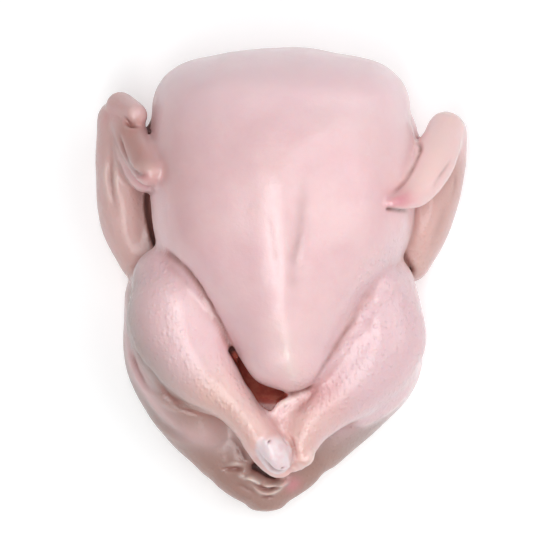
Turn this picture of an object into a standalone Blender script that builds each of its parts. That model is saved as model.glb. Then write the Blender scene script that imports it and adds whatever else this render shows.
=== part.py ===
"""A whole raw country chicken, plucked, drawn and skin on, lying on its back.

The breast faces up, the neck end points to +Y and the tail to -Y. The legs are folded back, so that the
two hocks meet over the vent, and each wing is folded in a Z against the flank. The bird is one piece: its
trunk, limbs and tail are lofted one by one, cut and joined by Booleans, and then drawn together under one
skin by a voxel remesh that is smoothed. It rests on the flat of its back, at Z = 0.
"""

import math

import bmesh
import bpy
import numpy as np

# The bird's length over all drives every other size. The sizes below are millimetres on a bird of
# REFERENCE_LENGTH millimetres, so MM is what one of them comes to in metres.
BIRD_LENGTH = 0.225
REFERENCE_LENGTH = 244.0
MM = BIRD_LENGTH / REFERENCE_LENGTH

# How finely the lofts are made, and how finely the skin is drawn over them
LIMB_SIDES = 64
LIMB_STEPS = 40
TRUNK_SIDES = 160
TRUNK_STEPS = 60
DOME_STEPS = 12
SKIN_VOXEL = 1.6 * MM
SKIN_SMOOTHING = 0.5
SKIN_SMOOTHING_ROUNDS = 10
SKIN_TRIANGLES = 10000

# The skin: pale pink, moist
SKIN_COLOUR = (0.83, 0.62, 0.60, 1.0)
SKIN_ROUGHNESS = 0.42


def clear_scene():
    """Starts from an empty scene."""
    for obj in list(bpy.data.objects):
        bpy.data.objects.remove(obj)


def new_collection(name):
    collection = bpy.data.collections.new(name)
    bpy.context.scene.collection.children.link(collection)
    return collection


def through(stations, steps):
    """Rows on one smooth Catmull-Rom curve through the stations, with straight run-outs at both ends."""
    rows = np.array(stations, float)
    rows = np.vstack([2 * rows[0] - rows[1], rows, 2 * rows[-1] - rows[-2]])
    spans = len(rows) - 3
    found = []
    for place in np.linspace(0, spans, steps):
        span = min(int(place), spans - 1)
        t = place - span
        before, start, end, after = rows[span : span + 4]
        found.append(
            0.5
            * (
                2 * start
                + (end - before) * t
                + (2 * before - 5 * start + 4 * end - after) * t**2
                + (3 * start - before - 3 * end + after) * t**3
            )
        )
    return np.array(found)


def solid_from_rings(name, rings, first_pole, last_pole, collection):
    """A closed loft: a skin of quads from ring to ring, closed by a fan of triangles to a pole at each end."""
    made = bmesh.new()
    rows = [[made.verts.new(point) for point in ring] for ring in rings]
    sides = len(rows[0])
    for row, following in zip(rows, rows[1:]):
        for i in range(sides):
            j = (i + 1) % sides
            made.faces.new((row[i], row[j], following[j], following[i]))
    for row, pole in ((rows[0], first_pole), (rows[-1], last_pole)):
        tip = made.verts.new(pole)
        for i in range(sides):
            made.faces.new((row[i], row[(i + 1) % sides], tip))
    bmesh.ops.recalc_face_normals(made, faces=made.faces)
    mesh = bpy.data.meshes.new(name)
    made.to_mesh(mesh)
    made.free()
    obj = bpy.data.objects.new(name, mesh)
    collection.objects.link(obj)
    return obj


def dome():
    """How far out each ring of a rounded end stands, from its foot towards its tip, as a share of the dome."""
    return [math.sin(step / DOME_STEPS * math.pi / 2) for step in range(1, DOME_STEPS)]


def dome_share(reach, power=2.0):
    """The share of the full section that a dome has at this reach. Power 2 is an ellipse, more is squarer."""
    return (1 - reach**power) ** (1 / power)


# How long the rounded first and last ends of a limb are, as a share of its half width there
ROUND_ENDS = (1.0, 1.0)
BLUNT_ENDS = (0.85, 0.9)
FLAT_ENDS = (0.5, 0.5)
POINTED_ENDS = (1.0, 1.3)


def limb(name, stations, collection, ends=ROUND_ENDS):
    """A limb along a smooth route, with oval sections and rounded ends. A station is its middle (x, y, z),
    its half width across the route and its half depth, in millimetres."""
    rows = through(stations, LIMB_STEPS)
    middles, widths, depths = rows[:, :3], rows[:, 3], rows[:, 4]
    along = np.gradient(middles, axis=0)
    along /= np.linalg.norm(along, axis=1)[:, None]
    side = np.cross(along, (0.0, 0.0, 1.0))
    side /= np.linalg.norm(side, axis=1)[:, None]
    over = np.cross(side, along)
    angles = np.arange(LIMB_SIDES) * 2 * math.pi / LIMB_SIDES

    def ring(i, reach=0.0, share=1.0):
        middle = middles[i] + along[i] * reach
        across = np.outer(np.cos(angles) * widths[i] * share, side[i])
        deep = np.outer(np.sin(angles) * depths[i] * share, over[i])
        return (middle + across + deep) * MM

    first, last = -widths[0] * ends[0], widths[-1] * ends[1]
    rings = [ring(0, first * reach, dome_share(reach)) for reach in reversed(dome())]
    rings += [ring(i) for i in range(LIMB_STEPS)]
    rings += [ring(-1, last * reach, dome_share(reach)) for reach in dome()]
    poles = (middles[0] + along[0] * first) * MM, (middles[-1] + along[-1] * last) * MM
    return solid_from_rings(name, rings, *poles, collection)


# The trunk's two long lofts run from the neck end to the tail. A station is Y, the middle's X, the half
# width, and the heights of the widest point, the top and the underside.
BREAST_STATIONS = [
    (84, 0, 67.5, 45, 94, -6),
    (64, 0, 69.5, 45, 101.5, -8),
    (38, 0, 69.5, 46, 104.5, -8),
    (18, 0, 66.0, 47, 103.5, -6),
    (-2, 0, 53.5, 49, 100, 0),
    (-22, 1, 38.5, 53, 94, 12),
    (-40, 2, 25.0, 57, 87, 34),
]
BREAST_NECK_DOME = 38.0
BREAST_TIP_DOME = 20.5
NECK_PLAN_SQUARENESS = 2.4
NECK_SIDE_SQUARENESS = 1.9
BREAST_SQUARENESS = 2.15

# The keel bone lifts the skin along the middle of the breast, between two shallow grooves.
KEEL_RISE = 1.5
KEEL_HALF_WIDTH = 4.0
KEEL_GROOVE = 1.3
KEEL_GROOVE_PLACE = 8.5
KEEL_GROOVE_WIDTH = 5.0
KEEL_FROM = 88.0
KEEL_TO = -34.0
KEEL_FADE = 34.0

BACK_STATIONS = [
    (92, 0, 52, 30, 62, -6),
    (50, 0, 62, 34, 72, -8),
    (5, 0, 60, 32, 64, -8),
    (-35, -1, 54, 30, 50, -8),
    (-68, -3, 42, 27, 45, -6),
    (-92, -5, 26, 24, 38, -3),
]
BACK_DOME = 14.0
BACK_SQUARENESS = 2.3

# The tail narrows to a blunt wedge.
TAIL_STATIONS = [
    (-10, -72, 27.0, 43, 19),
    (-10, -88, 26.2, 39, 17),
    (-10, -100, 25.4, 33, 14.5),
    (-10, -106, 24.8, 27.5, 13),
    (-10, -111, 24.2, 21, 11.5),
    (-10, -115.5, 23.6, 14, 10),
    (-10, -118, 23.2, 9, 8),
]


def ease(value):
    """0 to 1, smoothly."""
    value = min(1.0, max(0.0, value))
    return value * value * (3 - 2 * value)


def keel_lift(x, y):
    """How far the keel bone lifts the skin of the breast there, in millimetres."""
    present = ease((KEEL_FROM - y) / KEEL_FADE) * ease((y - KEEL_TO) / KEEL_FADE)
    ridge = KEEL_RISE * math.exp(-((x / KEEL_HALF_WIDTH) ** 2))
    groove = KEEL_GROOVE * math.exp(-(((abs(x) - KEEL_GROOVE_PLACE) / KEEL_GROOVE_WIDTH) ** 2))
    return present * (ridge - groove)


def signed_power(value, power):
    return math.copysign(abs(value) ** power, value)


def trunk_loft(name, stations, collection, neck_dome, tail_dome, squareness, neck_plan=2.2, has_keel=False):
    """A long loft down the trunk, with superelliptic sections that stand upright along Y. Its neck end is
    neck_plan square seen from above, and rounder seen from the side."""
    rows = through(stations, TRUNK_STEPS)
    angles = [i * 2 * math.pi / TRUNK_SIDES for i in range(TRUNK_SIDES)]

    def ring(row, reach=0.0, share=1.0, share_up=1.0):
        y, middle, half, widest, top, under = row
        heart = (top + under) / 2
        points = []
        for angle in angles:
            across = signed_power(math.cos(angle), 2 / squareness)
            upright = signed_power(math.sin(angle), 2 / squareness)
            x = middle + half * across * share
            z = widest + upright * ((top - widest) if upright > 0 else (widest - under))
            z = heart + (z - heart) * share_up
            if has_keel and upright > 0:
                z += keel_lift(x - middle, y + reach) * upright
            points.append((x * MM, (y + reach) * MM, z * MM))
        return points

    rings = [
        ring(rows[0], neck_dome * s, dome_share(s, neck_plan), dome_share(s, NECK_SIDE_SQUARENESS))
        for s in reversed(dome())
    ]
    rings += [ring(row) for row in rows]
    rings += [ring(rows[-1], -tail_dome * s, dome_share(s), dome_share(s)) for s in dome()]

    def pole(row, reach):
        return (row[1] * MM, (row[0] + reach) * MM, (row[4] + row[5]) / 2 * MM)

    return solid_from_rings(name, rings, pole(rows[0], neck_dome), pole(rows[-1], -tail_dome), collection)


# The vent was cut open to draw the bird. What shows of the opening is a short pocket that runs forward
# under the breast, behind a slit that curves round the tip of the breast.
VENT_STATIONS = [
    (-8, -62, 56, 13, 9),
    (-6, -50, 49, 20, 12),
    (-3, -30, 44, 20, 13),
]
SLIT_STATIONS = [(-33, -28, 65, 2.2, 8), (-25, -44, 60, 4.2, 12), (-15, -57.5, 57, 6.4, 11), (-4, -64.5, 54, 5.6, 8)]


def trunk(collection):
    """The breast, the back and the tail, joined, with the opening of the vent cut out."""
    breast = trunk_loft(
        "breast",
        BREAST_STATIONS,
        collection,
        BREAST_NECK_DOME,
        BREAST_TIP_DOME,
        BREAST_SQUARENESS,
        NECK_PLAN_SQUARENESS,
        has_keel=True,
    )
    back = trunk_loft("back", BACK_STATIONS, collection, BACK_DOME, BACK_DOME, BACK_SQUARENESS)
    tail = limb("tail", TAIL_STATIONS, collection, FLAT_ENDS)
    vent = limb("vent", VENT_STATIONS, collection)
    slit = limb("slit", SLIT_STATIONS, collection)
    return breast, back, tail, vent, slit


# The legs. A thigh lies along the flank, low down, and its drumstick is folded back over it.
LEFT_THIGH = [(-57, -12, 30, 25, 27), (-54, -42, 30, 29, 27), (-43, -70, 27, 26, 22), (-31, -90, 24, 19, 16)]
RIGHT_THIGH = [(43, -10, 30, 24, 26), (44.5, -36, 30, 28, 26), (32, -62, 27, 25, 22), (15, -84, 24, 20, 16)]
LEFT_DRUMSTICK = [
    (-61, 0, 46, 17, 19),
    (-58, -15, 49, 24, 24),
    (-51, -33, 52, 25, 23),
    (-39, -52, 56, 19.5, 18),
    (-26, -68, 60, 13.5, 13),
    (-15.5, -79, 63, 11.5, 11),
    (-9, -86, 65, 11, 10.5),
]
LEFT_KNUCKLE = [(-9.5, -86, 68, 8.5, 6.5), (-4.5, -92, 68, 8.5, 6.5)]
RIGHT_DRUMSTICK = [
    (54, -3, 45, 17, 19),
    (53, -17, 48, 22.5, 24),
    (49, -34, 51, 25, 23),
    (36, -52, 54, 20, 17.5),
    (21, -68, 56, 14, 12.5),
    (13, -78, 57, 11.5, 11),
    (8, -87, 57, 10, 9.5),
]
RIGHT_KNUCKLE = [(9, -85, 61, 7, 6), (10.5, -92, 60, 6.5, 6)]

# Skin spans from the breast to the right leg, and fills the fork of the two shanks under the vent.
RIGHT_WEB = [(50, -8, 60, 14, 14), (33, -30, 62, 12, 12), (17, -50, 60, 9, 10)]
FORK_SKIN = [(16, -60.5, 55, 5.5, 6), (7, -66, 55, 5.5, 6), (-2, -73, 55, 7.5, 7)]

# The wings. From the shoulder the upper arm runs back to the elbow, the forearm forward to the wrist, and
# the tip back again over the forearm. The thumb stands at the wrist, and skin spans from the forearm to
# the tip.
LEFT_UPPER_ARM = [(-56, 78, 34, 16, 16), (-66, 45, 26, 15, 15), (-72, 12, 22, 13, 14)]
LEFT_FOREARM = [(-77, 10, 22, 10, 12), (-84, 32, 27, 14, 15), (-86, 58, 33, 13, 14), (-86.5, 83, 38, 12, 12)]
LEFT_TIP = [(-84, 84, 44, 9, 8), (-77.5, 68, 54, 10, 7.5), (-72, 53, 62, 9.5, 7)]
LEFT_THUMB = [(-85, 89, 46, 8.5, 8), (-76, 83, 56, 7.5, 7)]
LEFT_WING_SKIN = [(-84, 80, 42, 8, 8), (-79, 66, 46, 7, 10), (-75, 56, 50, 6, 12)]
RIGHT_UPPER_ARM = [(56, 78, 34, 16, 16), (64, 42, 26, 15, 15), (67, 12, 22, 13, 14)]
RIGHT_FOREARM = [(69, 9, 22, 10, 12), (77, 31, 27, 13.5, 15), (84, 56, 34, 13, 14), (87, 76, 40, 11.5, 12)]
RIGHT_TIP = [(87, 80, 46, 10, 9), (79, 65, 60, 13.5, 8), (69.5, 51, 73, 12.5, 6.5), (62, 42, 80.5, 8.5, 5)]
RIGHT_WING_SKIN = [(83, 74, 44, 8, 8), (78, 61, 50, 7, 11), (72, 49, 56, 6, 14)]


def legs(collection):
    """Both thighs and both drumsticks, with the hocks and the skin between them."""
    limb("left_thigh", LEFT_THIGH, collection, BLUNT_ENDS)
    limb("right_thigh", RIGHT_THIGH, collection, BLUNT_ENDS)
    limb("left_drumstick", LEFT_DRUMSTICK, collection, BLUNT_ENDS)
    limb("left_knuckle", LEFT_KNUCKLE, collection)
    limb("right_drumstick", RIGHT_DRUMSTICK, collection, BLUNT_ENDS)
    limb("right_knuckle", RIGHT_KNUCKLE, collection)
    limb("right_web", RIGHT_WEB, collection)
    limb("fork_skin", FORK_SKIN, collection)


def wings(collection):
    """Both wings, each of an upper arm, a forearm and a tip. The thumb shows on the left wing alone."""
    limb("left_upper_arm", LEFT_UPPER_ARM, collection)
    limb("left_forearm", LEFT_FOREARM, collection)
    limb("left_tip", LEFT_TIP, collection)
    limb("left_thumb", LEFT_THUMB, collection)
    limb("left_wing_skin", LEFT_WING_SKIN, collection)
    limb("right_upper_arm", RIGHT_UPPER_ARM, collection)
    limb("right_forearm", RIGHT_FOREARM, collection)
    limb("right_tip", RIGHT_TIP, collection, POINTED_ENDS)
    limb("right_wing_skin", RIGHT_WING_SKIN, collection)


def boolean(obj, operation, other=None, group=None):
    """Adds a Boolean modifier to obj, with another object or with a collection of them."""
    modifier = obj.modifiers.new(operation.lower(), "BOOLEAN")
    modifier.operation = operation
    modifier.solver = "EXACT"
    if group is None:
        modifier.object = other
    else:
        modifier.operand_type = "COLLECTION"
        modifier.collection = group
    return modifier


def with_modifiers_applied(obj, name):
    """A new mesh object that holds what obj looks like with its modifiers."""
    graph = bpy.context.evaluated_depsgraph_get()
    mesh = bpy.data.meshes.new_from_object(obj.evaluated_get(graph))
    mesh.name = name
    return bpy.data.objects.new(name, mesh)


def skin_material():
    material = bpy.data.materials.new("raw_skin")
    material.use_nodes = True
    shader = material.node_tree.nodes["Principled BSDF"]
    shader.inputs["Base Color"].default_value = SKIN_COLOUR
    shader.inputs["Roughness"].default_value = SKIN_ROUGHNESS
    shader.inputs["Metallic"].default_value = 0.0
    return material


def table_cutter(collection):
    """A block under Z = 0, which takes off the round of the back to leave the flat that the bird rests on."""
    size = 2 * BIRD_LENGTH
    made = bmesh.new()
    bmesh.ops.create_cube(made, size=size)
    bmesh.ops.translate(made, vec=(0, 0, -size / 2), verts=made.verts)
    mesh = bpy.data.meshes.new("table_cutter")
    made.to_mesh(mesh)
    made.free()
    cutter = bpy.data.objects.new("table_cutter", mesh)
    collection.objects.link(cutter)
    cutter.hide_render = True
    cutter.display_type = "WIRE"
    return cutter


def draw_skin_over(body):
    """Draws the joined limbs together under one smooth skin of few enough triangles."""
    remesh = body.modifiers.new("skin", "REMESH")
    remesh.mode = "VOXEL"
    remesh.voxel_size = SKIN_VOXEL
    remesh.use_smooth_shade = True
    smooth = body.modifiers.new("draw_together", "SMOOTH")
    smooth.factor = SKIN_SMOOTHING
    smooth.iterations = SKIN_SMOOTHING_ROUNDS
    decimate = body.modifiers.new("fewer_faces", "DECIMATE")
    graph = bpy.context.evaluated_depsgraph_get()
    dense = sum(len(face.vertices) - 2 for face in body.evaluated_get(graph).data.polygons)
    decimate.ratio = SKIN_TRIANGLES / dense


def main():
    clear_scene()
    bird = new_collection("whole_chicken")
    limbs = new_collection("limbs")
    cutters = new_collection("cutters")

    breast, back, tail, vent, slit = trunk(cutters)
    boolean(back, "UNION", breast)
    boolean(back, "UNION", tail)
    boolean(back, "DIFFERENCE", vent)
    body = with_modifiers_applied(back, "whole_chicken")
    bird.objects.link(body)
    legs(limbs)
    wings(limbs)
    boolean(body, "UNION", group=limbs)
    boolean(body, "DIFFERENCE", slit)
    joined = with_modifiers_applied(body, "whole_chicken")
    body.modifiers.clear()
    body.data = joined.data
    for helper in [joined, *limbs.objects, *cutters.objects]:
        bpy.data.objects.remove(helper)
    bpy.data.collections.remove(limbs)

    draw_skin_over(body)
    boolean(body, "DIFFERENCE", table_cutter(cutters))
    body.data.materials.clear()
    body.data.materials.append(skin_material())


main()
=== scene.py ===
import math

import bmesh
import bpy
import numpy as np
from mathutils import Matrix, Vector, noise


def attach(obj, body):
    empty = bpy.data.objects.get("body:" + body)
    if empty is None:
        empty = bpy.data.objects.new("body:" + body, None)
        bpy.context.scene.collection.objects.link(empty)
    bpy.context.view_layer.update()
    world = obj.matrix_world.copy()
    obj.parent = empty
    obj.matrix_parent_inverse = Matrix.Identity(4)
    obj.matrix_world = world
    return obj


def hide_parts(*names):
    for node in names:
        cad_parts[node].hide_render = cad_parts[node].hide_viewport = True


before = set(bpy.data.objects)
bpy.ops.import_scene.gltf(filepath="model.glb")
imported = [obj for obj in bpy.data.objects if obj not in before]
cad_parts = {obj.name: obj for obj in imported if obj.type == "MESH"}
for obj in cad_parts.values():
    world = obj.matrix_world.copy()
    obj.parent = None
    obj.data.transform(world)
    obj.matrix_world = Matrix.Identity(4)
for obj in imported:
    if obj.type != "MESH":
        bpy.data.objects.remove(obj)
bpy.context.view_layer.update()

# The trunk: breast, back and tail, flesh on bone under the skin. Each is a loft down the bird with rounded
# sections, so the three are closed shapes here, which the skin is drawn over further down. The keel bone
# lifts the middle of the breast a little.
BIRD_LENGTH = 0.225
REFERENCE_LENGTH = 244.0
MM = BIRD_LENGTH / REFERENCE_LENGTH     # in metres, one millimetre of the sizes in this script
LIMB_SIDES = 64
LIMB_STEPS = 40
TRUNK_SIDES = 160
TRUNK_STEPS = 70
DOME_STEPS = 12

# A station of the trunk is Y, the middle's X, the half width, and the heights of the widest point, the top
# and the underside.
BREAST_STATIONS = [
    (84, -0.3, 68.0, 45, 97, -6),
    (64, 0.4, 70, 45, 101.5, -8),
    (38, 0, 69.5, 46, 104.5, -8),
    (18, 0, 66.0, 47, 103.5, -6),
    (-2, 0, 53.5, 49, 100, 0),
    (-22, 1, 38.5, 53, 94, 12),
    (-40, 2, 25.0, 57, 87, 34),
]
BREAST_NECK_DOME = 36.6
BREAST_TIP_DOME = 20.5
NECK_PLAN_SQUARENESS = 2.8
NECK_SIDE_SQUARENESS = 1.75
BREAST_SQUARENESS = 2.15
BACK_STATIONS = [
    (92, 0, 52, 30, 62, -6),
    (50, 0, 62, 34, 72, -8),
    (5, 0, 60, 32, 64, -8),
    (-35, -1, 54, 30, 50, -8),
    (-68, -3, 42, 27, 45, -6),
    (-92, -5, 26, 24, 38, -3),
]
BACK_DOME = 14.0
BACK_SQUARENESS = 2.3
NECK_SHOULDER = 1.6
NECK_SHOULDER_PLACE = 34.0
NECK_SHOULDER_WIDTH = 13.0
KEEL_RISE = 1.0
KEEL_PLACE = -5.0
KEEL_HALF_WIDTH = 10.5
KEEL_FROM = 88.0
KEEL_TO = -58.0
KEEL_FADE = 36.0


def ease(value):
    """0 to 1, smoothly."""
    value = np.clip(value, 0.0, 1.0)
    return value * value * (3 - 2 * value)


def through(stations, steps):
    """Rows on one smooth Catmull-Rom curve through the stations, with straight run-outs at both ends."""
    rows = np.array(stations, float)
    rows = np.vstack([2 * rows[0] - rows[1], rows, 2 * rows[-1] - rows[-2]])
    spans = len(rows) - 3
    found = []
    for place in np.linspace(0, spans, steps):
        span = min(int(place), spans - 1)
        t = place - span
        before, start, end, after = rows[span : span + 4]
        bend = (2 * before - 5 * start + 4 * end - after) * t**2
        twist = (3 * start - before - 3 * end + after) * t**3
        found.append(0.5 * (2 * start + (end - before) * t + bend + twist))
    return np.array(found)


def dome():
    """How far out each ring of a rounded end stands, from its foot to its tip, as a share of the dome."""
    return [math.sin(step / DOME_STEPS * math.pi / 2) for step in range(1, DOME_STEPS)]


def dome_share(reach, power=2.0):
    """The share of the full section that a dome has at this reach. Power 2 is an ellipse, more is squarer."""
    return (1 - reach**power) ** (1 / power)


def shell(rings, first_pole, last_pole):
    """A closed loft as points and faces: quads from ring to ring, and a fan of triangles to each pole."""
    count, sides = len(rings), len(rings[0])
    points = np.vstack([*rings, [first_pole], [last_pole]])
    faces = []
    for row in range(0, (count - 1) * sides, sides):
        for i in range(sides):
            j = (i + 1) % sides
            faces.append((row + i, row + j, row + sides + j, row + sides + i))
    last = (count - 1) * sides
    for i in range(sides):
        j = (i + 1) % sides
        faces.append((j, i, count * sides))
        faces.append((last + i, last + j, count * sides + 1))
    return points, faces


def keel_lift(x, y):
    """How far the keel bone lifts the skin of the breast there."""
    present = ease((KEEL_FROM - y) / KEEL_FADE) * ease((y - KEEL_TO) / KEEL_FADE)
    return present * KEEL_RISE * np.exp(-(((x - KEEL_PLACE) / KEEL_HALF_WIDTH) ** 4))


def trunk_loft(stations, neck_dome, tail_dome, squareness, neck_plan=2.2, has_keel=False):
    """A loft down the trunk, with superelliptic sections that stand upright along Y. Its neck end is
    neck_plan square seen from above, and rounder seen from the side."""
    rows = through(stations, TRUNK_STEPS)
    angles = np.arange(TRUNK_SIDES) * 2 * math.pi / TRUNK_SIDES
    across = np.sign(np.cos(angles)) * np.abs(np.cos(angles)) ** (2 / squareness)
    upright = np.sign(np.sin(angles)) * np.abs(np.sin(angles)) ** (2 / squareness)

    def ring(row, reach=0.0, share=1.0, share_up=1.0):
        y, middle, half, widest, top, under = row
        heart = (top + under) / 2
        x = half * across * share
        z = widest + upright * np.where(upright > 0, top - widest, widest - under)
        z = heart + (z - heart) * share_up
        along = np.full_like(x, y + reach)
        if has_keel:
            z = z + keel_lift(x, y + reach) * np.maximum(upright, 0)
            off = (np.abs(x) - NECK_SHOULDER_PLACE) / NECK_SHOULDER_WIDTH
            along -= NECK_SHOULDER * np.exp(-(off**2)) * max(reach, 0) / neck_dome
        return np.column_stack([middle + x, along, z])

    def pole(row, reach):
        return (row[1], row[0] + reach, (row[4] + row[5]) / 2)

    rings = [
        ring(rows[0], neck_dome * s, dome_share(s, neck_plan), dome_share(s, NECK_SIDE_SQUARENESS))
        for s in reversed(dome())
    ]
    rings += [ring(row) for row in rows]
    rings += [ring(rows[-1], -tail_dome * s, dome_share(s), dome_share(s)) for s in dome()]
    return shell(rings, pole(rows[0], neck_dome), pole(rows[-1], -tail_dome))


# How long the rounded first and last ends of a limb are, as a share of its half width there
ROUND_ENDS = (1.0, 1.0)
BLUNT_ENDS = (0.85, 0.9)
FLAT_ENDS = (0.5, 0.5)


def limb(stations, ends=ROUND_ENDS):
    """A limb along a smooth route, with oval sections and rounded ends. A station is its middle (x, y, z),
    its half width across the route and its half depth."""
    rows = through(stations, LIMB_STEPS)
    middles, widths, depths = rows[:, :3], rows[:, 3], rows[:, 4]
    along = np.gradient(middles, axis=0)
    along /= np.linalg.norm(along, axis=1)[:, None]
    side = np.cross(along, (0.0, 0.0, 1.0))
    side /= np.linalg.norm(side, axis=1)[:, None]
    over = np.cross(side, along)
    angles = np.arange(LIMB_SIDES) * 2 * math.pi / LIMB_SIDES

    def ring(i, reach=0.0, share=1.0):
        across = np.outer(np.cos(angles) * widths[i] * share, side[i])
        deep = np.outer(np.sin(angles) * depths[i] * share, over[i])
        return middles[i] + along[i] * reach + across + deep

    first, last = -widths[0] * ends[0], widths[-1] * ends[1]
    rings = [ring(0, first * reach, dome_share(reach)) for reach in reversed(dome())]
    rings += [ring(i) for i in range(LIMB_STEPS)]
    rings += [ring(-1, last * reach, dome_share(reach)) for reach in dome()]
    return shell(rings, middles[0] + along[0] * first, middles[-1] + along[-1] * last)


TAIL_STATIONS = [
    (-9.4, -72, 27.0, 43, 19),
    (-9.1, -88, 26.2, 39, 17),
    (-8.8, -100, 25.4, 33, 14.5),
    (-8.6, -106, 24.8, 28.5, 13),
    (-8.4, -111, 24.2, 23, 11.5),
    (-8.2, -115.5, 23.6, 16, 10),
    (-8.1, -118, 23.2, 11, 8),
]
trunk_shapes = [
    trunk_loft(
        BREAST_STATIONS,
        BREAST_NECK_DOME,
        BREAST_TIP_DOME,
        BREAST_SQUARENESS,
        NECK_PLAN_SQUARENESS,
        has_keel=True,
    ),
    trunk_loft(BACK_STATIONS, BACK_DOME, BACK_DOME, BACK_SQUARENESS),
    limb(TAIL_STATIONS, FLAT_ENDS),
]

# The legs: a thigh low down along each flank, with the drumstick folded back over it so that the two hocks
# meet over the vent. A station is the middle of the limb and its two half sizes.
LEFT_THIGH = [
    (-58, -9, 30, 26, 27),
    (-54.5, -41, 30, 28.5, 27),
    (-42, -69, 27, 25, 22),
    (-30, -90, 24, 18.5, 16),
]
RIGHT_THIGH = [
    (43, -10, 30, 24, 26),
    (46.5, -40, 30, 28.2, 26),
    (34, -61.6, 27, 25.4, 22),
    (17, -84, 24, 19.5, 16),
]
LEFT_DRUMSTICK = [
    (-60.5, 1, 47.5, 18, 20.5),
    (-55.4, -13.5, 50.5, 27, 25.5),
    (-49.2, -31.5, 53, 27.6, 24),
    (-37.6, -51, 56, 19.8, 18.5),
    (-24.2, -66, 60, 11.2, 13),
    (-15.3, -76.8, 63, 9.5, 11),
    (-10.8, -84, 63, 9.9, 10),
]
RIGHT_DRUMSTICK = [
    (53, -3, 45, 16.5, 19),
    (52, -17, 48, 21.5, 24),
    (49.4, -34, 51, 25, 23),
    (37, -52, 53, 21, 19),
    (21.6, -67.6, 55.5, 14.6, 13),
    (13, -78, 57, 11.5, 11),
    (8, -87, 57, 10, 9.5),
]
LEG_JOINS = [
    # flesh in the cleft between the breast and the left leg
    [(-53, 2, 58, 6, 9), (-46.5, -12, 61, 10, 14.5), (-40, -26, 61, 9.5, 14), (-34, -38, 61, 7, 12)],
    # the right hock
    [(9, -85, 61, 7, 6), (10.5, -92, 60, 6.5, 6)],
    # skin from the breast to the right leg, and from that leg over its thigh
    [(50, -8, 60, 14, 14), (33, -30, 62, 12, 12), (17, -50, 60, 9, 10)],
    [(66, -20, 42, 8.5, 12), (62.5, -42, 42, 10, 13), (54.5, -59, 41, 10.5, 14), (42, -70, 40, 8.5, 12)],
    # skin that closes the fork of the two shanks
    [(15, -57.5, 57, 5.5, 6), (6, -62.5, 57, 5.5, 6), (-3.5, -69, 57, 7.5, 7)],
    [(2.5, -72, 57, 6, 6), (3, -79, 58, 6.5, 6), (5, -86, 58, 6, 6)],
]
leg_shapes = [limb(stations, BLUNT_ENDS) for stations in (LEFT_THIGH, RIGHT_THIGH)]
leg_shapes += [limb(stations, BLUNT_ENDS) for stations in (LEFT_DRUMSTICK, RIGHT_DRUMSTICK)]
leg_shapes += [limb(stations) for stations in LEG_JOINS]

# The left hock: the foot was taken off at the joint, so the white cartilage at the end of the shank bone
# stands bare in the cut skin. The skin has drawn back from it into a thick collar, open towards the shank.
# Below it lies flesh, and at the right a lap of skin that touches the other hock.
CARTILAGE_STATIONS = [(-6.6, -85.6, 67, 7.4, 7.4), (-4, -90.4, 67, 7.7, 7.8), (-2, -94.2, 65.5, 7.3, 7.8)]
COLLAR_STATIONS = [
    (-17.2, -87.2, 63.5, 2.0, 2.8),
    (-14.4, -92.6, 63, 2.1, 3.0),
    (-9.6, -97.8, 62, 2.1, 3.0),
    (-3.8, -102.0, 61, 2.0, 2.8),
    (1.4, -102.4, 60, 1.6, 2.2),
    (4.8, -100.2, 59, 1.0, 1.5),
]
hock_shapes = [
    limb(CARTILAGE_STATIONS),
    limb([(-8.6, -89, 58, 9, 6), (-2.6, -95, 56, 7.6, 6)]),
    limb(COLLAR_STATIONS),
    limb([(2.5, -96.5, 57, 4, 4.5), (8.5, -96, 57, 4.5, 5)]),
]

# The wings: from the shoulder the upper arm runs back to the elbow, the forearm forward to the wrist, and
# the tip back again over the forearm. The thumb stands at the left wrist.
WING_STATIONS = [
    # the left upper arm, forearm, tip, thumb, and the skin from the forearm to the tip
    [(-56, 78, 34, 16, 16), (-66, 45, 26, 15, 15), (-72, 12, 22, 13, 14)],
    [(-77, 10, 22, 10, 12), (-84, 32, 27, 14, 15), (-86, 58, 33, 13, 14), (-86.5, 83, 38, 12, 12)],
    [
        (-83.5, 86, 44, 9, 8),
        (-77.5, 71, 55, 8.5, 8),
        (-71.3, 59.5, 66, 8.5, 7.5),
        (-67.4, 51.8, 74, 7.3, 6.5),
    ],
    [(-84.5, 90, 46, 7.8, 8), (-76, 84, 56, 5.8, 6.5)],
    [(-84.5, 76, 42, 6, 9), (-80.5, 61, 48, 5.5, 9), (-74.5, 50, 53, 5, 8), (-68, 47.5, 56, 4.5, 7)],
    # the right upper arm, forearm, blade-like tip, and the skin from the forearm to the tip
    [(56, 78, 34, 16, 16), (64, 42, 26, 15, 15), (67, 12, 22, 13, 14)],
    [(69, 9, 22, 10, 12), (77, 31, 27, 13.5, 15), (84, 56, 34, 13, 14), (87, 76, 40, 11.5, 12)],
    [
        (86.5, 78, 46, 10, 9),
        (79, 61, 60, 11.5, 8),
        (69, 43.6, 72, 9.4, 6.5),
        (61.3, 36.8, 81.5, 5.2, 4.5),
        (55, 34.6, 87, 3.2, 3.0),
    ],
    [(83, 74, 44, 8, 8), (78, 61, 50, 7, 11), (72, 49, 56, 6, 14)],
]
wing_shapes = [limb(stations) for stations in WING_STATIONS]

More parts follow.
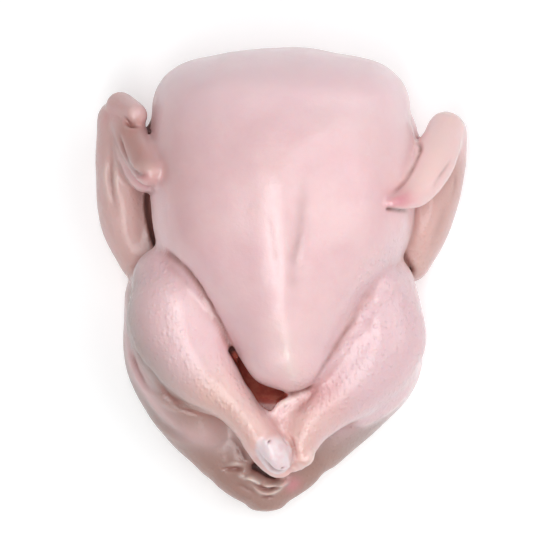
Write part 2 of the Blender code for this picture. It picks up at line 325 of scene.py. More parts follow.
# The skin: one closed hide drawn over trunk, legs and wings. The vent was cut open to draw the bird, so a
# pocket runs forward under the breast, behind a slit that curves round the tip of the breast and ends in a
# sharp corner between the shanks. Voxel remeshes melt the shapes into one. Narrow gaps part the left wing
# from the body.
VENT_STATIONS = [(-9, -61, 55, 13, 9), (-8, -50, 49, 22, 12), (-3, -30, 44, 20, 13)]
SLIT_STATIONS = [
    (-26.5, -38, 66, 1.4, 14),
    (-20.8, -46.8, 64, 2.0, 18),
    (-16.4, -54.4, 62, 2.8, 21),
    (-11, -58.8, 60, 3.5, 20),
    (-6.0, -60.6, 58, 3.0, 17),
    (-2.2, -61.0, 57, 2.4, 14),
    (0.8, -61.6, 56, 1.4, 12),
]
CORNER_STATIONS = [(-6.4, -64.8, 59, 5.2, 14), (-6.6, -66.8, 60, 3.2, 12), (-6.4, -68.8, 61, 1.4, 10)]
LEFT_WING_GAP = [
    (-69.8, 43, 44, 2.6, 16),
    (-68.6, 32, 42, 2.8, 16),
    (-66, 20, 40, 2.2, 16),
    (-62.5, 13, 44, 1.4, 14),
]
LEFT_THUMB_GAP = [(-70, 81, 46, 1.5, 16), (-68.6, 73, 46, 1.6, 16)]
TRUNK_VOXEL = 1.4
SKIN_VOXEL = 1.25


def new_object(name, shapes):
    """One mesh object that holds the shapes as they are, each facing outwards."""
    made = bmesh.new()
    for points, faces in shapes:
        corners = [made.verts.new(point) for point in points]
        for face in faces:
            made.faces.new([corners[i] for i in face])
    bmesh.ops.recalc_face_normals(made, faces=made.faces)
    mesh = bpy.data.meshes.new(name)
    made.to_mesh(mesh)
    made.free()
    obj = bpy.data.objects.new(name, mesh)
    bpy.context.scene.collection.objects.link(obj)
    return obj


def remesh(obj, voxel):
    modifier = obj.modifiers.new("remesh", "REMESH")
    modifier.mode = "VOXEL"
    modifier.voxel_size = voxel


def cut(obj, cutter):
    modifier = obj.modifiers.new("cut", "BOOLEAN")
    modifier.operation = "DIFFERENCE"
    modifier.solver = "EXACT"
    modifier.object = cutter
    cutter.hide_render = True


def settled(obj):
    """Puts what the object's modifiers make in its place."""
    graph = bpy.context.evaluated_depsgraph_get()
    mesh = bpy.data.meshes.new_from_object(obj.evaluated_get(graph))
    obj.modifiers.clear()
    obj.data = mesh
    return mesh


def as_shape(mesh):
    return [tuple(vertex.co) for vertex in mesh.vertices], [tuple(face.vertices) for face in mesh.polygons]


trunk = new_object("trunk", trunk_shapes)
vent = new_object("vent", [limb(VENT_STATIONS)])
remesh(trunk, TRUNK_VOXEL)
cut(trunk, vent)
trunk_skin = as_shape(settled(trunk))
hide = new_object("skin", [trunk_skin, *leg_shapes, *hock_shapes, *wing_shapes])
openings = (SLIT_STATIONS, CORNER_STATIONS, LEFT_WING_GAP, LEFT_THUMB_GAP)
cutters = [new_object("cutter", [limb(route)]) for route in openings]
remesh(hide, SKIN_VOXEL)
for cutter in cutters:
    cut(hide, cutter)
remesh(hide, SKIN_VOXEL)
settled(hide)
for helper in (trunk, vent, *cutters):
    bpy.data.objects.remove(helper)

# The skin is finer where its small folds are: round the hocks and the tail, and on both wings.
FINE_PLACES = [
    ((-36, -122, 18), (20, -78, 80)),
    ((-100, 40, 35), (-58, 100, 75)),
    ((48, 26, 56), (100, 92, 92)),
]
made = bmesh.new()
made.from_mesh(hide.data)
fine = set()
for face in made.faces:
    middle = face.calc_center_median()
    if any(all(low[k] < middle[k] < high[k] for k in range(3)) for low, high in FINE_PLACES):
        fine.update(face.edges)
bmesh.ops.subdivide_edges(made, edges=list(fine), cuts=1, use_grid_fill=True)
made.to_mesh(hide.data)
made.free()

mesh = hide.data
skin = np.empty(len(mesh.vertices) * 3)
mesh.vertices.foreach_get("co", skin)
skin = skin.reshape(-1, 3)
edges = np.empty(len(mesh.edges) * 2, int)
mesh.edges.foreach_get("vertices", edges)
edges = edges.reshape(-1, 2)
degree = np.bincount(edges.ravel(), minlength=len(skin))


def neighbours_mean(values):
    """The mean of each point's neighbours."""
    a, b = edges.T
    total = np.bincount(a, values[b], len(values)) + np.bincount(b, values[a], len(values))
    return total / degree


def relax(points, weight, rounds):
    """Draws each point towards its neighbours, by its weight."""
    for _ in range(rounds):
        mean = np.column_stack([neighbours_mean(points[:, k]) for k in range(3)])
        points += (mean - points) * weight[:, None]


ROUTE_STEPS = 48


def closeness(route, width):
    """1 on a route through the stations, and down to 0 a few widths away from it."""
    path = through(route, ROUTE_STEPS)[:, :3]
    reach = 3 * width
    near = np.all((skin > path.min(0) - reach) & (skin < path.max(0) + reach), axis=1)
    distance = np.full(len(skin), np.inf)
    found = skin[near]
    distance[near] = np.sqrt(((found[:, None] - path[None]) ** 2).sum(2)).min(1)
    return np.exp(-((distance / width) ** 2))


# It is pulled smooth all over, and then again where flesh bridges the joins. The vent, the hocks, the wing
# ends and the creases between drumsticks and thighs stay as crisp as they are.
SMOOTHING = 0.5
FIRST_ROUNDS = 5
BRIDGING_ROUNDS = 26
CRISPNESS = 1.4
crisp = np.maximum.reduce(
    [
        closeness(SLIT_STATIONS, 7.0),
        closeness(CORNER_STATIONS, 7.0),
        closeness([(-16, -86, 64), (-6, -96, 62), (4, -100, 58)], 15.0),
        closeness([(10, -84, 60), (10, -100, 58)], 10.0),
        closeness([(-84, 92, 50), (-72, 50, 62)], 13.0),
        closeness([(88, 82, 50), (62, 42, 80)], 13.0),
        closeness(LEFT_WING_GAP, 9.0),
        closeness(LEFT_THUMB_GAP, 7.0),
        closeness([(-84, -10, 45), (-70, -58, 45), (-38, -84, 48)], 9.0),
        closeness([(42, -82, 42), (28, -89, 44), (14, -94, 48)], 8.0),
    ]
)
everywhere = np.ones(len(skin))
relax(skin, SMOOTHING * everywhere, FIRST_ROUNDS)
relax(skin, SMOOTHING * (1 - ease(crisp * CRISPNESS)), BRIDGING_ROUNDS)

# The back is pressed flat where the bird lies on it, with a soft edge round the flat.
REST_EDGE = 1.2
pressed = REST_EDGE * np.exp(np.minimum(skin[:, 2] / REST_EDGE - 1, 0))
skin[:, 2] = np.where(skin[:, 2] < REST_EDGE, pressed, skin[:, 2])
skin[:, 2] -= skin[:, 2].min()


def outward():
    """The direction that the skin faces at each point."""
    mesh.vertices.foreach_set("co", skin.ravel())
    mesh.update()
    found = np.empty(len(skin) * 3)
    mesh.vertex_normals.foreach_get("vector", found)
    return found.reshape(-1, 3)


# Flesh under skin is never quite even: it has slow swells all over, with smaller ones among them.
def uneven(size, seed):
    """Smooth noise over the skin, about -1 to 1, with lumps of this size."""
    shift = Vector((seed * 17.3, seed * 5.1, seed * 29.7))
    return np.array([noise.noise(Vector(point) / size + shift) for point in skin])


SLOW_SWELL, SLOW_SWELL_SIZE = 0.9, 34.0
SMALL_SWELL, SMALL_SWELL_SIZE = 0.35, 13.0
facing = outward()
swells = uneven(SLOW_SWELL_SIZE, 1) * SLOW_SWELL + uneven(SMALL_SWELL_SIZE, 2) * SMALL_SWELL
skin += facing * swells[:, None]
skin[:, 2] = np.maximum(skin[:, 2], 0.0)

# Small folds, creases and ridges in the skin. A route of two numbers a point is seen from above and laid on
# the skin there, and one of three numbers has its own heights. The height of a stroke is negative for a
# crease, and a lip is a raised edge at a crease's right hand.
STROKE_STEPS = 60
CELL = 1.0
LEVELLING = 11
facing = outward()
low = skin[:, :2].min(0)
place = ((skin[:, :2] - low) / CELL).astype(int)
heights = np.full(place.max(0) + 3, -1.0)
np.maximum.at(heights, (place[:, 0] + 1, place[:, 1] + 1), skin[:, 2])


def on_skin(route):
    """The route, laid on the skin as seen from above."""
    path = through(route, STROKE_STEPS)
    spots = ((path - low) / CELL).astype(int) + 1
    tops = [heights[x - 1 : x + 2, y - 1 : y + 2].max() for x, y in spots]
    tops = np.pad(tops, LEVELLING // 2, mode="edge")
    tops = np.convolve(tops, np.ones(LEVELLING) / LEVELLING, mode="valid")
    return np.column_stack([path, tops])


wobble = uneven(6.0, 4)
bare_end = closeness(CARTILAGE_STATIONS, 8.0)
# what the strokes paint: shade into creases, and a pale colour, partly highlight, onto raised folds
painted_crease_shade = np.zeros(len(skin))
pale_fold_and_highlight = np.zeros(len(skin))


def stroke(route, height, width, lip=0.0, ends=0.4, tint=0.0, steep=0.3):
    """Raises or sinks the skin along a route, a little unevenly. It fades over this share of the route at
    both ends. The tint paints shade into a crease, or paints a ridge pale, partly as a highlight, as far as
    it says. A step up or down counts this much, next to one across, when the route is matched to the skin."""
    path = on_skin(route) if len(route[0]) == 2 else through(route, STROKE_STEPS)
    reach = 4 * width * np.array([1, 1, 2.5])
    near = np.nonzero(np.all((skin > path.min(0) - reach) & (skin < path.max(0) + reach), axis=1))[0]
    near = near[facing[near, 2] > -0.2]
    away = (skin[near][:, None] - path[None]) * [1, 1, steep]
    distances = (away**2).sum(2)
    nearest = distances.argmin(1)
    distance = np.sqrt(distances[np.arange(len(near)), nearest])
    along = nearest / (len(path) - 1)
    strength = ease(np.minimum(along, 1 - along) / ends) * (1 + 0.5 * wobble[near])
    share = np.exp(-((distance / width) ** 2))
    move = height * share
    if lip:
        heading = np.gradient(path, axis=0)[nearest]
        offset = away[np.arange(len(near)), nearest]
        right = np.einsum("ij,ij->i", np.cross(heading, facing[near]), offset) > 0
        move += lip * right * np.exp(-(((distance - 1.7 * width) / width) ** 2))
    skin[near] += facing[near] * (move * strength)[:, None]
    kept = painted_crease_shade if height < 0 else pale_fold_and_highlight
    kept[near] = np.maximum(kept[near], tint * strength * share)


# the cleft between the breast and the left leg, which opens into the slit of the vent, with shade painted
# into it
CLEFT = [(-60.5, 13), (-54.5, 7.3), (-48.9, 2.2), (-43.3, -4.9), (-38.2, -13.1), (-34.7, -19.2)]
CLEFT += [(-31, -26), (-25.4, -38.6)]
stroke(CLEFT, -1.6, 1.0, ends=0.08, tint=0.6, steep=0.15)
stroke([(-61.5, 14), (-56, 8.6), (-50.4, 3.6), (-46, -1.4)], -0.6, 0.9, ends=0.4, tint=0.9)
SLIT_TOP = [(-31.5, -27, 70), (-28.2, -33, 68.5), (-25, -39, 66), (-22, -45, 64), (-19, -50, 63)]
stroke(SLIT_TOP, -1.2, 0.9, ends=0.35, tint=0.85, steep=0.05)
# the crease between the breast and the right leg, which fades towards the wing, with shade painted into it
RIGHT_CREASE = [(14.8, -57.3), (21.4, -46.5), (30.6, -32.2), (37.3, -22.5), (43, -14)]
stroke(RIGHT_CREASE, -0.9, 1.2, ends=0.5, tint=0.35)
stroke([(12.6, -60), (17.6, -53), (22.4, -45), (28, -36.6)], -0.6, 0.9, ends=0.4, tint=0.8)
# the breast: a fine groove along the keel's crest, a deeper one at its right, both with painted shade, and a
# ridge over the tip painted pale as a highlight
stroke([(-7.4, 32), (-6.2, 22), (-4.4, 11), (-2.8, 2), (-2, -7)], -0.28, 1.3, ends=0.5, tint=0.16)
KEEL_GROOVE = [(11.4, 54), (10.6, 42), (9.2, 30), (8.4, 18), (6.0, 5), (5.2, -8), (5.4, -20)]
stroke(KEEL_GROOVE, -0.38, 3.0, ends=0.45, tint=0.26)
stroke([(0.5, -26), (2.6, -40), (4.2, -50), (5.4, -57)], 0.4, 3.4, ends=0.45, tint=0.4)
# the left hock: the crevice between the cartilage and its collar, with painted shade, folds at its right,
# painted shade under the shank, and two specks on the cartilage
CREVICE = [(-14, -86.2), (-11.8, -91.4), (-8.2, -95.8), (-3.8, -99.8), (1.4, -100.2), (4.6, -97.6)]
stroke(CREVICE, -2.2, 0.9, tint=0.85)
stroke([(2.6, -80), (5, -85), (6.4, -91), (5.4, -96.5)], -1.6, 1.1, tint=0.3)
stroke([(-2.4, -82.4), (3, -87), (5.6, -90)], 0.8, 0.9, tint=0.3)
stroke([(2.2, -96.4), (7.3, -99.2)], 1.0, 0.9, tint=0.5)
stroke([(16, -86), (14.5, -93), (10, -98)], 0.9, 1.6, tint=0.4)
UNDER_SHANK = [(-29, -82, 42), (-23.4, -88, 41.5), (-20, -93.6, 41), (-17, -98.6, 41)]
stroke(UNDER_SHANK, -0.8, 2.0, ends=0.4, tint=0.7, steep=0.7)
stroke([(-7.2, -84.0), (-6.2, -84.8)], -1.3, 0.9, tint=0.9)
stroke([(-0.2, -97.6), (0.6, -99.0)], -1.2, 0.9, tint=0.8)
# the vent: a strip of skin from the fork of the shanks to the tip of the breast, creases at both its edges
# with shade painted into them, and a speck
stroke([(-4, -67, 63), (2, -64.6, 63), (8, -62, 64), (14, -58.6, 65)], 0.9, 1.6, tint=0.6)
stroke([(1, -61.4, 64), (6, -60.8, 64.5), (13, -58.4, 65), (17, -54, 66.5)], -1.6, 1.0, ends=0.25, tint=1.0)
stroke([(1.4, -67.2, 63), (2.2, -67.6, 63)], -0.8, 0.6, tint=0.7)
stroke([(3, -72.5), (10, -67), (16, -59.5), (20, -52)], -0.9, 1.6, tint=0.15)
# the tail: soft lips of skin under the hocks, with shade painted dark into the pocket between them and the
# collar
SHADED_POCKET = [(-20, -98, 41), (-16, -98.6, 41), (-12.4, -99.6, 41)]
SHADED_POCKET += [(-8.6, -102.4, 41), (-3.4, -104.6, 40), (1, -104.6, 39)]
stroke(SHADED_POCKET, -3.0, 2.6, ends=0.3, tint=1.5, steep=0.5)
stroke([(-20, -103.4), (-16, -104.4), (-12.8, -106.2), (-10.6, -108.4)], 2.6, 1.2, ends=0.3, tint=1.0)
stroke([(-11, -107), (-8, -108.4), (-4.6, -108.3), (-1, -107.2), (3, -105.8)], 2.4, 1.2, ends=0.3, tint=0.9)
stroke([(-17, -106.6), (-12, -109.4), (-7.6, -110.6), (-3.2, -109.4), (2, -107)], -1.8, 1.0, tint=0.9)
stroke([(-24, -102), (-20, -103.6), (-17.6, -106)], 1.6, 1.4, tint=0.4)
LOWER_LIP = [(-21, -105.6), (-12, -111), (-7.6, -112.4), (-3.2, -110.6), (1.6, -107), (5.5, -102), (8, -97)]
stroke(LOWER_LIP, 2.0, 1.5, ends=0.25, tint=0.55)
stroke([(-12, -114), (-8, -115), (-3.5, -113.8)], -1.2, 1.1, tint=0.7)
stroke([(-33, -100.2), (-26, -99.8), (-19, -100.2)], -1.6, 1.1, tint=0.55)
stroke([(-31, -97.2), (-23, -96.8), (-17, -97.4)], 0.8, 1.4, tint=0.3)
stroke([(-26, -105), (-18, -110), (-11, -113)], -0.8, 2.0, tint=0.25)
# the left leg: parallel folds outside and under the drumstick, with shade painted into their creases
stroke([(-81.4, -14), (-79, -38), (-72.5, -54), (-65.5, -60.5)], -1.4, 1.2, lip=0.4, tint=0.35)
UNDER_DRUMSTICK = [(-80, -22), (-78.4, -35), (-73.6, -44), (-68, -50)]
UNDER_DRUMSTICK += [(-63, -57), (-57.6, -63.4), (-49, -67.6), (-41, -70)]
stroke(UNDER_DRUMSTICK, -2.2, 1.3, lip=0.5, ends=0.25, tint=0.6)
stroke([(-70, -57), (-56, -64.4), (-43, -69.2), (-34, -71)], -1.7, 1.1, lip=0.8, tint=0.7)
stroke([(-66, -61.5), (-54, -67.6), (-40, -72.4)], -1.2, 1.0, lip=0.7, tint=0.4)
stroke([(-74, -66), (-60, -78), (-46, -86)], -0.8, 2.2, lip=0.5, tint=0.1)
stroke([(-78, -54), (-67, -72), (-52, -84)], -0.7, 1.8, lip=0.4, tint=0.1)
# the left wing: the thumb's crease, the thin hind edge of the tip, the two bones of the forearm; shade is
# painted into the creases, and the bones' ridges are painted pale as highlights
stroke([(-82.5, 83.5), (-80.6, 80), (-77.5, 77.8), (-72.6, 78.2)], -2.6, 1.1, lip=0.5, tint=0.7)
stroke([(-85.5, 77), (-82.2, 64), (-78.6, 56), (-74.4, 51.2), (-66, 48)], -2.2, 1.1, ends=0.25, tint=0.5)
stroke([(-86.4, 62), (-83, 51.6), (-77.5, 44.4), (-72.5, 42), (-64, 42.6)], -2.0, 1.2, ends=0.25, tint=0.8)
stroke([(-89.8, 72), (-90, 50), (-86, 28)], -1.1, 1.7, ends=0.5, tint=0.3)
stroke([(-92.2, 72), (-92.4, 52), (-90, 34)], 0.7, 1.6, ends=0.5, tint=0.45)
stroke([(-87.4, 68), (-87, 52), (-86, 38)], 0.4, 1.6, ends=0.5, tint=0.45)
# the right wing: the edges of the blade, fine creases on it and along the forearm, and the notch between the
# wing and the leg, with shade painted along the creases, under the blade's edge and into the notch
stroke([(70.2, 71), (71.2, 66), (69.2, 60), (62.8, 47.6), (54.2, 38.6)], -1.0, 0.9, ends=0.15, tint=0.5)
stroke([(69.4, 70), (71, 65.6), (69.6, 61)], -1.2, 0.9, ends=0.4, tint=1.2)
BLADE_EDGE = [(51, 31.6, 88.5), (53.4, 31.3, 87.3), (57, 31.2, 84.3)]
BLADE_EDGE += [(59.2, 31.3, 81.5), (61.4, 31.5, 78.5), (65.5, 32.5, 67)]
stroke(BLADE_EDGE, -0.6, 0.9, ends=0.15, tint=0.75)
stroke([(88, 62), (84.5, 56), (79, 48), (75.6, 41)], -0.5, 0.8, lip=0.25, ends=0.5, tint=0.35)
stroke([(89.6, 60), (91.2, 50), (88.6, 38)], -0.4, 0.9, lip=0.2, ends=0.5, tint=0.22)
stroke([(88, 44), (83, 28), (77, 12)], -0.5, 1.8, ends=0.5, tint=0.2)
stroke([(62.5, 16, 42), (65, 11, 38), (68, 6, 35), (70.5, 0, 32)], -1.6, 1.6, ends=0.2, tint=0.9, steep=0.7)
# the neck: the skin is folded back under the bird there, in soft gathers that run down into the fold
GATHERS = 9
GATHER_SPACING = 11
for turn in range(GATHERS):
    x = GATHER_SPACING * (turn - GATHERS // 2)
    round_off = x * x / 300
    gather = [(x, 113 - round_off, 58), (x * 0.8, 119 - round_off, 40)]
    gather += [(x * 0.62, 113, 18), (x * 0.55, 104, 6)]
    stroke(gather, -1.5 + 0.4 * (turn % 3), 2.6, ends=0.45, steep=1.0)
# the hocks and the tail: the cut skin has puckered unevenly, on what faces up and beside the bare cartilage
facing = outward()
puckered = closeness([(-16, -88, 62), (-6, -100, 60), (8, -99, 58)], 8.0) * (1 - bare_end) * 0.45
puckered += closeness([(-26, -97, 42), (-10, -107, 40), (4, -106, 40)], 9.0) * 0.7
faces_up = np.clip(facing[:, 2] * 1.6 - 0.6, 0, 1)
skin += facing * (puckered * uneven(4.4, 5) * faces_up)[:, None]
# the right leg: the web of skin puckers where it folds against the breast
puckered = closeness([(54, -10, 72), (42, -24, 72), (32, -38, 71)], 7.0)
skin += outward() * (puckered * uneven(4.2, 3) * 0.65)[:, None]
relax(skin, 0.3 * everywhere, 1)

# Where the skin is hollow, ridged, or one of its tinted places, painted shade and painted light among these.
# Each is a value from 0 to 1 at every point of the mesh, which the colours below read. How sharply the skin
# bends is averaged over some rounds first.
BEND_ROUNDS = 6
HOLLOW_BEND = 0.05
RIDGE_BEND = 0.08
facing = outward()
bend = np.column_stack([neighbours_mean(skin[:, k]) for k in range(3)]) - skin
bend = (bend * facing).sum(1)
for _ in range(BEND_ROUNDS):
    bend = neighbours_mean(bend)
up = np.clip(facing[:, 2], 0, 1)


def patch(middle, radius):
    """A round place on the skin, as seen from above, on what faces up."""
    distance = np.hypot(skin[:, 0] - middle[0], skin[:, 1] - middle[1])
    return np.exp(-((distance / radius) ** 2)) * up


def within(stations, margin):
    """1 inside a limb-like shape that is this much larger than its stations say, and 0 outside."""
    found = np.zeros(len(skin))
    for row in through(stations, LIMB_STEPS):
        away = (skin - row[:3]) / np.array([row[3] + margin, row[3] + margin, row[4] + margin])
        found = np.maximum(found, ease((1.12 - np.sqrt((away**2).sum(1))) / 0.2))
    return found


def below(level, soft):
    """1 well below this height, 0 above it, over a soft step."""
    return ease((level - skin[:, 2]) / soft)


def above(level, soft):
    return ease((skin[:, 2] - level) / soft)


def tailward(level, soft):
    """1 well beyond this Y towards the tail, 0 before it, over a soft step."""
    return ease((level - skin[:, 1]) / soft)


# the pocket and the walls of the slit are meat, and painted shade darkens the slit's rim
VENT_ROOF = 62.0
pocket = within(VENT_STATIONS, 1.6) * (skin[:, 2] < VENT_ROOF)
cut_walls = np.maximum(within(SLIT_STATIONS, 0.9), within(CORNER_STATIONS, 1.8))
opening = cut_walls * below(60, 4) * tailward(-47, 6)
rim = cut_walls * below(62.5 + 0.16 * (skin[:, 1] + 60), 2.5)
# painted shade along the gap between the left forearm and the body
beside_wing_shade = closeness([(-71, 44, 34), (-69.5, 32, 34), (-67, 20, 34), (-63, 11, 34)], 6.0)
gap_shade = np.maximum.reduce(
    [
        within(LEFT_WING_GAP, 1.4) * below(46, 6),
        0.85 * beside_wing_shade * (skin[:, 2] < 50),
        within(LEFT_THUMB_GAP, 1.4) * below(56, 6),
        1.15 * rim * (1 - opening),
    ]
)
bare = within(CARTILAGE_STATIONS, 0.8) * (1 - within(COLLAR_STATIONS, 1.0))
tints = {
    # painted shade: a dark red in the hollows of the skin
    "hollow_shade": ease(np.clip(bend / HOLLOW_BEND, 0, 1)),
    "ridge": ease(np.clip(-bend / RIDGE_BEND, 0, 1)),
    "cavity": np.maximum(pocket, opening),
    # painted shade in the creases and gaps
    "crease_shade": np.clip(np.maximum(painted_crease_shade, gap_shade * 0.8), 0, 1),
    # pale raised folds, partly a painted highlight
    "fold_and_highlight": np.clip(pale_fold_and_highlight, 0, 1),
    "cartilage": bare * above(62, 5) * tailward(-80, 5),
    # the thighs' browner skin with painted shade low down, and painted shade down the left drumstick's outer
    # edge
    "thigh": np.maximum(
        below(50, 14) * ease((0 - skin[:, 1] - 0.6 * np.maximum(skin[:, 0], 0)) / 60),
        closeness([(-81, -10, 54), (-79, -28, 58), (-67.5, -48, 60), (-60, -58, 57), (-47, -67, 52)], 15.0),
    ),
    "leg": np.maximum(
        0.5 * closeness([(-61, 0, 62), (-51, -33, 66), (-26, -68, 68)], 22.0),
        closeness([(54, -3, 62), (54, -34, 60), (26, -68, 60)], 27.0),
    ),
    "wing": np.maximum(
        closeness([(-84, 88, 45), (-84, 50, 38), (-78, 8, 26)], 22.0),
        np.minimum(1.3 * closeness([(85, 54, 42), (79, 31, 40), (71, 9, 36)], 15.0), 1.0),
    ),
    "hock": np.maximum(
        closeness([(-34, -62, 70), (-24, -72, 70), (-8, -88, 70), (0, -96, 66)], 15.0),
        closeness([(22, -66, 62), (10, -80, 64), (11, -92, 62)], 13.0),
    ),
    # the left wing tip: its browner skin, with painted shade
    "left_tip_and_shade": closeness([(-79, 74, 60), (-74, 62, 72), (-68, 52, 80)], 10.0),
    # the right wing's blade: its paler skin, with painted light
    "blade_and_light": closeness([(86, 80, 54), (82, 66, 62), (73, 49, 74), (63, 40, 84)], 11.0),
    # painted highlight over the breast's tip
    "breast_tip_highlight": closeness([(2, -30, 92), (3, -46, 84), (5, -56, 74)], 13.0),
    # painted shade on the breast's left side, away from the light
    "left_breast_shade": closeness([(-58, 74, 76), (-54, 46, 84), (-50, 22, 84)], 13.0),
    # the tail's browner skin with painted shade, and painted shade under the left shank
    "tail": np.maximum(
        tailward(-78, 22) * below(48, 8),
        closeness([(-46, -66, 51), (-34, -74, 52), (-26, -81, 52), (-20, -89, 49)], 14.0),
    ),
    # painted sheen: paler skin towards the neck
    "neck_sheen": ease((skin[:, 1] - 55) / 50) * above(40, 30),
    "blush": np.maximum.reduce(
        [
            patch((59.5, 36.4), 7.5),
            patch((5.5, -108), 4.5) * 0.7,
            patch((-70, 48), 4.0) * 0.5,
            patch((-89, 86), 6.0) * 0.3,
            patch((20, -60), 12.0) * 0.35,
            patch((-2, -55.5), 6.0) * 0.22,
        ]
    ),
}
skin *= MM
mesh.vertices.foreach_set("co", skin.ravel())
mesh.update()
for name, values in tints.items():
    mesh.attributes.new(name, "FLOAT", "POINT").data.foreach_set("value", values)
mesh.polygons.foreach_set("use_smooth", np.ones(len(mesh.polygons), bool))


# Raw skin: pale pink and moist, thin enough for the flesh to tint it, mauve over the dark meat of the legs,
# brownish on the wings, yellowish over fat on the ridges, and dark red in the cavity. Shade is painted into
# it:
# dark red in hollows, near black in creases and gaps, brown-grey low on the thighs and tail and under the
# left leg, darker on the breast's left side and the left wing tip. Light is painted too: a pale sheen towards
# the neck, highlights over the breast's tip and on raised folds, and paler skin on the right wing's blade.
def new_material(name):
    material = bpy.data.materials.new(name)
    material.use_nodes = True
    return material, material.node_tree, material.node_tree.nodes["Principled BSDF"]


def add(tree, kind, settings=(), **inputs):
    """Adds a node, with its settings, and its inputs by name: a value, or another node's socket."""
    node = tree.nodes.new("ShaderNode" + kind)
    for key, value in dict(settings).items():
        setattr(node, key, value)
    for key, value in inputs.items():
        socket = node.inputs[int(key[1:])] if key[0] == "_" else node.inputs[key]
        if isinstance(value, bpy.types.NodeSocket):
            tree.links.new(value, socket)
        else:
            socket.default_value = value
    return node


def blend(tree, share, one, other):
    """Goes from one colour to the other by the share."""
    node = add(tree, "Mix", {"data_type": "RGBA"}, Factor=share)
    for socket, value in ((node.inputs[6], one), (node.inputs[7], other)):
        if isinstance(value, bpy.types.NodeSocket):
            tree.links.new(value, socket)
        else:
            socket.default_value = (*value, 1.0)
    return node.outputs[2]


def sums(tree, kind, one, other=0.5):
    return add(tree, "Math", {"operation": kind}, _0=one, _1=other).outputs[0]


def stretch(tree, value, low, high, to_low=0.0, to_high=1.0):
    """Takes low to to_low and high to to_high, smoothly and no further."""
    node = add(tree, "MapRange", {"interpolation_type": "SMOOTHSTEP"}, Value=value)
    for key, number in (("From Min", low), ("From Max", high), ("To Min", to_low), ("To Max", to_high)):
        node.inputs[key].default_value = number
    return node.outputs[0]


def grain(tree, where, size, detail=2.0, roughness=0.5):
    """Noise with lumps of this size in metres."""
    node = add(tree, "TexNoise", Vector=where, Scale=1 / size, Detail=detail, Roughness=roughness)
    return node.outputs["Fac"]


material, tree, shader = new_material("raw_skin")
where = add(tree, "TexCoord").outputs["Object"]
tint = {name: add(tree, "Attribute", {"attribute_name": name}).outputs["Fac"] for name in tints}
clouds = stretch(tree, grain(tree, where, 0.030, 3.0), 0.35, 0.65)
mottle = stretch(tree, grain(tree, where, 0.006, 4.0, 0.6), 0.42, 0.70)
colour = blend(tree, clouds, (0.85, 0.56, 0.585), (0.88, 0.61, 0.62))
colour = blend(tree, sums(tree, "MULTIPLY", mottle, 0.12), colour, (0.76, 0.42, 0.43))
TINT_COLOURS = [
    # painted sheen towards the neck
    ("neck_sheen", 0.7, (0.90, 0.68, 0.72)),
    ("leg", 0.85, (0.76, 0.53, 0.57)),
    ("wing", 0.75, (0.62, 0.39, 0.34)),
    # the left wing tip: its browner skin, with painted shade
    ("left_tip_and_shade", 0.92, (0.52, 0.27, 0.235)),
    # the right wing's blade: its paler skin, with painted light
    ("blade_and_light", 0.8, (0.96, 0.68, 0.64)),
    # painted shade on the breast's left side
    ("left_breast_shade", 0.5, (0.72, 0.42, 0.42)),
    # painted highlight over the breast's tip
    ("breast_tip_highlight", 0.5, (0.95, 0.70, 0.68)),
    # the thighs' browner skin, with painted shade
    ("thigh", 0.88, (0.40, 0.30, 0.275)),
    # the tail's browner skin, with painted shade
    ("tail", 0.9, (0.42, 0.24, 0.20)),
    ("hock", 0.8, (0.79, 0.50, 0.435)),
    ("ridge", 0.35, (0.88, 0.70, 0.64)),
    # painted shade in the hollows
    ("hollow_shade", 0.5, (0.52, 0.20, 0.17)),
    # pale raised folds, partly a painted highlight
    ("fold_and_highlight", 0.8, (0.90, 0.76, 0.69)),
]
for name, most, shade in TINT_COLOURS:
    colour = blend(tree, sums(tree, "MULTIPLY", tint[name], most), colour, shade)
colour = blend(tree, tint["blush"], colour, (0.74, 0.28, 0.33))
colour = blend(tree, tint["cartilage"], colour, blend(tree, mottle, (0.86, 0.71, 0.73), (0.82, 0.60, 0.62)))
# painted shade: creases and gaps dark red-brown, near black where deepest
colour = blend(tree, tint["crease_shade"], colour, (0.19, 0.060, 0.044))
colour = blend(tree, stretch(tree, tint["crease_shade"], 0.8, 1.0), colour, (0.06, 0.014, 0.010))
veins = stretch(tree, grain(tree, where, 0.004, 3.0), 0.4, 0.62)
meat = blend(tree, veins, (0.58, 0.115, 0.085), (0.67, 0.18, 0.125))
colour = blend(tree, tint["cavity"], colour, meat)
tree.links.new(colour, shader.inputs["Base Color"])

# feather follicles: small raised dots, thick on the legs, fainter on the thighs and wings, and on the legs
# fine ripples that run down the bird
FOLLICLE_SPACING = 0.0023
bumps = add(
    tree,
    "TexVoronoi",
    {"feature": "SMOOTH_F1"},
    Vector=where,
    Scale=1 / FOLLICLE_SPACING,
    Randomness=1.0,
)
dots = stretch(tree, bumps.outputs["Distance"], 0.45, 0.05)
leg_share = stretch(tree, tint["leg"], 0.08, 0.5)
elsewhere = sums(tree, "MULTIPLY", sums(tree, "MAXIMUM", tint["thigh"], tint["wing"]), 0.5)
squeezed = add(tree, "VectorMath", {"operation": "MULTIPLY"}, _0=where, _1=(1.0, 0.22, 0.6)).outputs[0]
ripples = grain(tree, squeezed, 0.0017, 3.0, 0.55)
pores = grain(tree, where, 0.0007, 2.0)
wrinkle = grain(tree, where, 0.0026, 3.0, 0.6)
on_leg = sums(tree, "ADD", sums(tree, "MULTIPLY", dots, 0.7), sums(tree, "MULTIPLY", ripples, 1.0))
relief = sums(tree, "MULTIPLY", on_leg, leg_share)
relief = sums(tree, "ADD", relief, sums(tree, "MULTIPLY", dots, elsewhere))
relief = sums(tree, "ADD", relief, sums(tree, "MULTIPLY", wrinkle, 0.5))
relief = sums(tree, "ADD", relief, sums(tree, "MULTIPLY", pores, 0.12))
bump = add(tree, "Bump", Height=relief, Strength=0.6, Distance=0.0006)
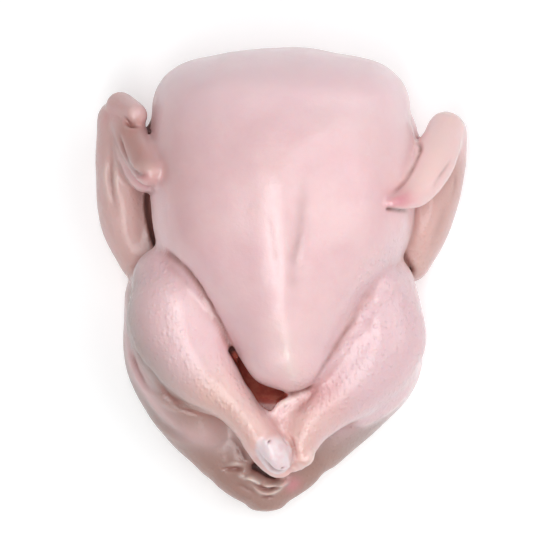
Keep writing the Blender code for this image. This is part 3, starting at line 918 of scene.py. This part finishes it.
tree.links.new(bump.outputs["Normal"], shader.inputs["Normal"])
gloss = stretch(tree, grain(tree, where, 0.009, 3.0, 0.6), 0.35, 0.65, 0.28, 0.42)
dull = sums(tree, "MAXIMUM", tint["thigh"], sums(tree, "MAXIMUM", tint["tail"], tint["wing"]))
gloss = sums(tree, "ADD", gloss, sums(tree, "MULTIPLY", dull, 0.25))
tree.links.new(gloss, shader.inputs["Roughness"])
MOIST_SKIN = {
    "Subsurface Weight": 0.30,
    "Subsurface Radius": (1.0, 0.35, 0.22),
    "Subsurface Scale": 0.0035,
    "Specular IOR Level": 0.5,
    "Coat Weight": 0.55,
    "Coat Roughness": 0.20,
}
for key, value in MOIST_SKIN.items():
    shader.inputs[key].default_value = value
mesh.materials.clear()
mesh.materials.append(material)
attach(hide, "root")
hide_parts("whole_chicken")

# The floor: a plain white table top, which stands in for the photograph's background. It glows a little, as
# one lit from below does.
FLOOR_SIZE = 6.0
made = bmesh.new()
bmesh.ops.create_grid(made, x_segments=1, y_segments=1, size=FLOOR_SIZE / 2)
floor_mesh = bpy.data.meshes.new("floor")
made.to_mesh(floor_mesh)
made.free()
floor = bpy.data.objects.new("floor", floor_mesh)
bpy.context.scene.collection.objects.link(floor)
material, tree, shader = new_material("white_table")
where = add(tree, "TexCoord").outputs["Object"]
white = blend(tree, grain(tree, where, 0.5), (0.93, 0.93, 0.93), (0.95, 0.95, 0.95))
tree.links.new(white, shader.inputs["Base Color"])
TABLE_TOP = {
    "Roughness": 0.9,
    "Specular IOR Level": 0.1,
    "Emission Color": (0.96, 1.0, 1.0, 1.0),
    "Emission Strength": 0.22,
}
for key, value in TABLE_TOP.items():
    shader.inputs[key].default_value = value
floor_mesh.materials.append(material)

# The light: a large soft window high at the right, a soft sheet overhead with a dimmer one at its left, and a
# pale room that is darker at the left.
def sheet_of_light(name, place, aim, width, length, power):
    lamp = bpy.data.lights.new(name, "AREA")
    lamp.shape = "RECTANGLE"
    lamp.size = width
    lamp.size_y = length
    lamp.energy = power
    obj = bpy.data.objects.new(name, lamp)
    bpy.context.scene.collection.objects.link(obj)
    obj.location = place
    obj.rotation_mode = "QUATERNION"
    obj.rotation_quaternion = (Vector(aim) - Vector(place)).to_track_quat("-Z", "Y")


sheet_of_light("key", (0.62, 0.25, 0.90), (0.0, 0.0, 0.04), 0.90, 0.90, 3.65)
sheet_of_light("overhead", (-0.05, -0.30, 1.05), (-0.05, -0.299, 0.0), 0.25, 1.25, 5.6)
sheet_of_light("overhead_left", (-0.27, -0.30, 1.05), (-0.27, -0.299, 0.0), 0.19, 1.25, 2.1)
world = bpy.data.worlds.new("room")
world.use_nodes = True
tree = world.node_tree
heading = add(tree, "SeparateXYZ", _0=add(tree, "TexCoord").outputs["Generated"]).outputs["X"]
ROOM_LEFT = (0.125, 0.127, 0.13)
ROOM_RIGHT = (0.37, 0.375, 0.38)
room = blend(tree, stretch(tree, heading, -0.8, 0.8), ROOM_LEFT, ROOM_RIGHT)
tree.links.new(room, tree.nodes["Background"].inputs["Color"])
bpy.context.scene.world = world
bpy.context.scene.view_settings.view_transform = "Standard"

# The camera looks almost straight down, from a little towards the tail.
PICTURE_SIDE = 550.0     # in pixels
METRES_PER_PIXEL = 0.52 * MM
OFF_MIDDLE = (-7, 2)     # in pixels, from the frame's origin to the middle of the picture
AIM_HEIGHT = 50 * MM
AIM = Vector((OFF_MIDDLE[0] * METRES_PER_PIXEL, OFF_MIDDLE[1] * METRES_PER_PIXEL, AIM_HEIGHT))
ELEVATION = math.radians(86)
DISTANCE = 900 * MM
backward = Vector((0, -math.cos(ELEVATION), math.sin(ELEVATION)))
camera_data = bpy.data.cameras.new("camera")
camera = bpy.data.objects.new("camera", camera_data)
bpy.context.scene.collection.objects.link(camera)
camera.location = AIM + backward * DISTANCE
camera.rotation_mode = "QUATERNION"
camera.rotation_quaternion = (-backward).to_track_quat("-Z", "Y")
camera_data.lens = camera_data.sensor_width * DISTANCE / (PICTURE_SIDE * METRES_PER_PIXEL)
camera_data.clip_start = 0.01
bpy.context.scene.camera = camera
